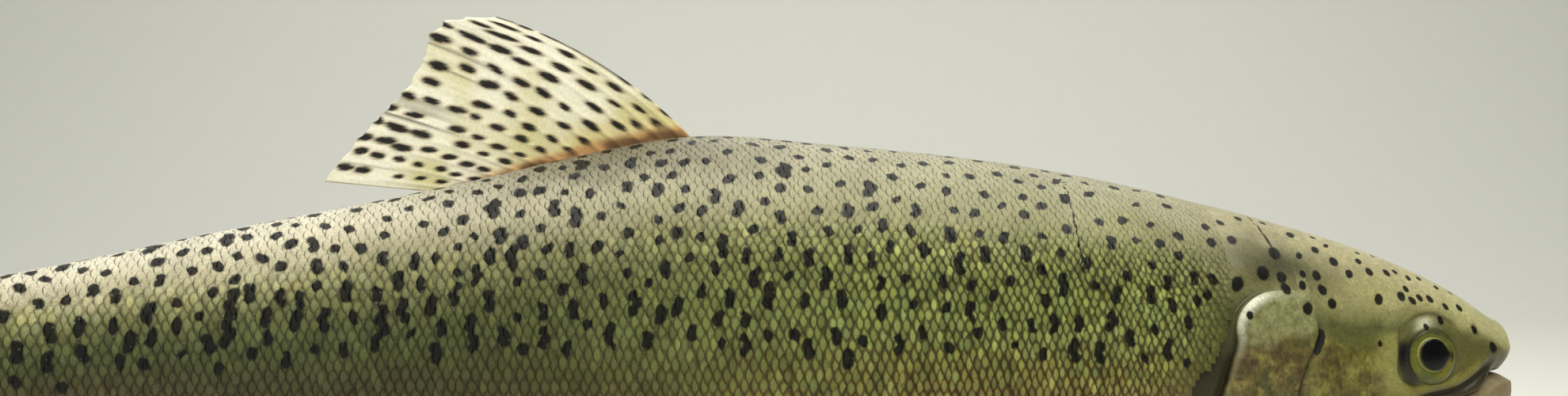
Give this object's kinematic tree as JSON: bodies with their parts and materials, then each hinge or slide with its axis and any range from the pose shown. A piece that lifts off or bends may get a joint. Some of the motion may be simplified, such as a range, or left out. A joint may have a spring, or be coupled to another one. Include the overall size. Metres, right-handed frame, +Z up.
{
  "type": "rainbow trout model",
  "caption": "Life-size rainbow trout museum model in a level swimming pose with a gently bent tail, held by rods on a flat wooden base.",
  "frame": {"origin": "middle of the stand base's underside, on the surface it stands on", "axes": "+X towards the trout's snout, +Y towards its left side, +Z up"},
  "size_m": [0.5688, 0.1332, 0.2512],
  "materials": {
    "skin": "painted scaled skin, olive back and flanks with black spots, a dull pink side stripe and a silvery white belly, satin clear coat",
    "fins": "thin cream to olive fins with rays and rows of dark spots, satin",
    "eyes": "polished eye with a yellow-green iris and a black pupil",
    "base": "dark stained wood, satin varnish",
    "rods": "plain round steel rod, lightly brushed"
  },
  "bodies": {
    "root": {"head": "skin", "lower_jaw": "skin", "maxilla_left": "skin", "maxilla_right": "skin", "gill_cover_left": "skin", "gill_cover_right": "skin", "trunk_front": "skin", "trunk_rear": "skin", "tail_stalk": "skin", "dorsal_fin": "fins", "adipose_fin": "fins", "anal_fin": "fins", "caudal_fin": "fins", "pectoral_fin_left": "fins", "pectoral_fin_right": "fins", "pelvic_fin_left": "fins", "pelvic_fin_right": "fins", "eye_left": "eyes", "eye_right": "eyes", "stand_base": "base", "stand_rod_front": "rods", "stand_rod_rear": "rods"}
  },
  "joints": []
}
